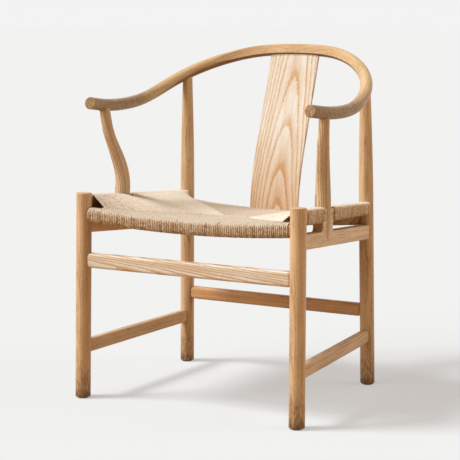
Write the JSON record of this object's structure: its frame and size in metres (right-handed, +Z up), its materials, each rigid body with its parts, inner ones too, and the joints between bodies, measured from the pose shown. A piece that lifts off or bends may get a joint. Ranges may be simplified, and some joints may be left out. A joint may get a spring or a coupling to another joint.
{
  "type": "horseshoe back armchair",
  "caption": "Ash armchair with a horseshoe bow, curved splat, slotted side rails, deep stretchers and a woven paper cord seat",
  "frame": {"origin": "middle of the overall box, on the floor under the glides", "axes": "+X to the right as seen from the front (the sitter's left), +Y to the back, +Z up"},
  "size_m": [0.5962, 0.5699, 0.799],
  "materials": {
    "ash": "satin",
    "cord": "matte",
    "glide": "matte"
  },
  "bodies": {
    "root": {"arm_post_left": "ash", "arm_post_right": "ash", "bow": "ash", "front_leg_left": "ash", "front_leg_right": "ash", "front_rail": "ash", "front_stretcher": "ash", "glide_front_left": "glide", "glide_front_right": "glide", "glide_rear_left": "glide", "glide_rear_right": "glide", "rear_leg_left": "ash", "rear_leg_right": "ash", "rear_rail": "ash", "rear_stretcher": "ash", "seat_cord": "cord", "side_rail_left": "ash", "side_rail_right": "ash", "side_stretcher_left": "ash", "side_stretcher_right": "ash", "splat": "ash"}
  },
  "joints": []
}
